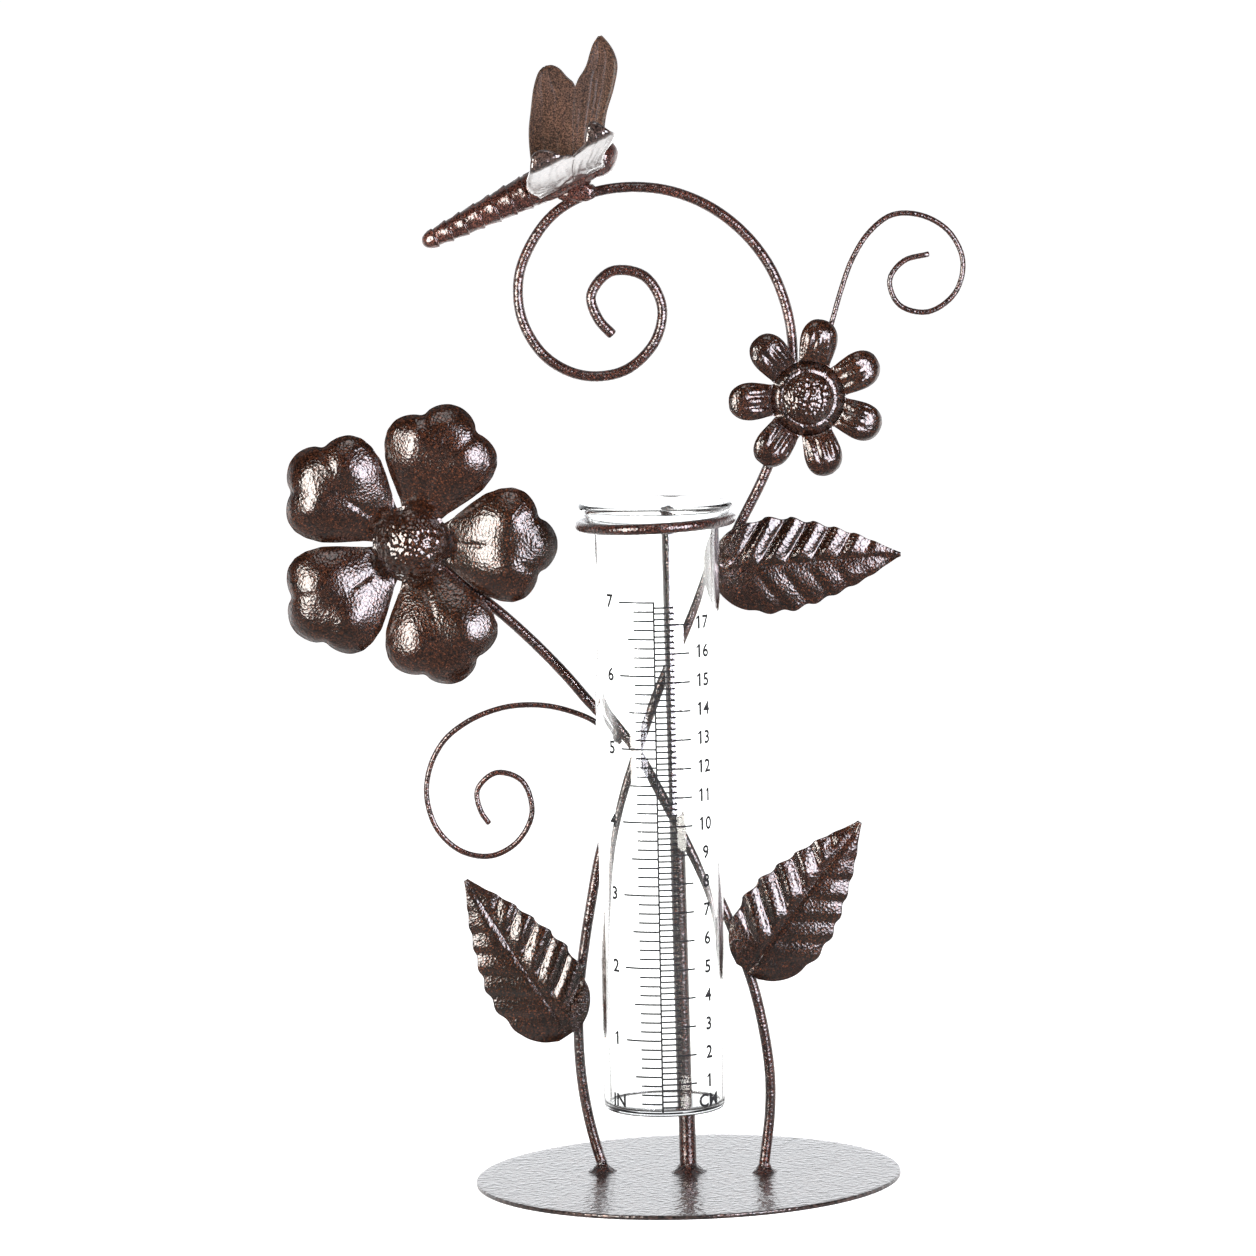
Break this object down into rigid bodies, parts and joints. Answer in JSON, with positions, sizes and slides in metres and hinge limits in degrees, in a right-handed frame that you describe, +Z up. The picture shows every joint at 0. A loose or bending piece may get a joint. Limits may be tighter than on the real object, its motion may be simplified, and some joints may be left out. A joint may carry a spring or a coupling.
{
  "type": "manual rain gauge",
  "caption": "Free-standing rain gauge: a graduated glass tube hangs in a ring on a round-based stand of bent wire with pressed leaves, flowers and a dragonfly.",
  "frame": {"origin": "centre of the base plate's underside, on the surface it stands on", "axes": "+Z up; -Y towards the viewer, where the tube and its scale face; +X to the viewer's right"},
  "size_m": [0.2406, 0.15, 0.4034],
  "materials": {
    "hammered_bronze_plate": "hammered bronze powder coat, semi-gloss",
    "hammered_bronze_rod": "hammered bronze powder coat, semi-gloss",
    "hammered_bronze_leaf": "hammered bronze powder coat, semi-gloss",
    "hammered_bronze_flower": "hammered bronze powder coat, semi-gloss",
    "hammered_bronze_dragonfly": "hammered bronze powder coat, semi-gloss",
    "hammered_bronze_weld": "coated weld bead, semi-gloss",
    "clear_glass": "clear, polished"
  },
  "bodies": {
    "stand": {"base_plate": "hammered_bronze_plate", "center_post": "hammered_bronze_rod", "flower_stem": "hammered_bronze_rod", "scroll_stem": "hammered_bronze_rod", "left_scroll": "hammered_bronze_rod", "right_scroll": "hammered_bronze_rod", "holder_ring": "hammered_bronze_rod", "leaf_lower_left": "hammered_bronze_leaf", "leaf_lower_right": "hammered_bronze_leaf", "leaf_upper_right": "hammered_bronze_leaf", "large_flower_petals": "hammered_bronze_flower", "large_flower_boss": "hammered_bronze_flower", "small_flower_petals": "hammered_bronze_flower", "small_flower_boss": "hammered_bronze_flower", "dragonfly_body": "hammered_bronze_dragonfly", "dragonfly_wings": "hammered_bronze_dragonfly", "post_foot_weld": "hammered_bronze_weld", "front_foot_weld": "hammered_bronze_weld", "back_foot_weld": "hammered_bronze_weld", "ring_weld": "hammered_bronze_weld", "front_stem_weld": "hammered_bronze_weld", "back_stem_weld": "hammered_bronze_weld", "large_flower_weld": "hammered_bronze_weld", "small_flower_weld": "hammered_bronze_weld", "left_scroll_weld": "hammered_bronze_weld", "right_scroll_weld": "hammered_bronze_weld", "dragonfly_weld": "hammered_bronze_weld"},
    "tube": {"glass_tube": "clear_glass"}
  },
  "joints": [
    {"name": "tube_lift", "type": "slide", "parent": "stand", "child": "tube", "axis": [0.0122, 0, 0.9999], "range_m": [0, 0.1]}
  ]
}
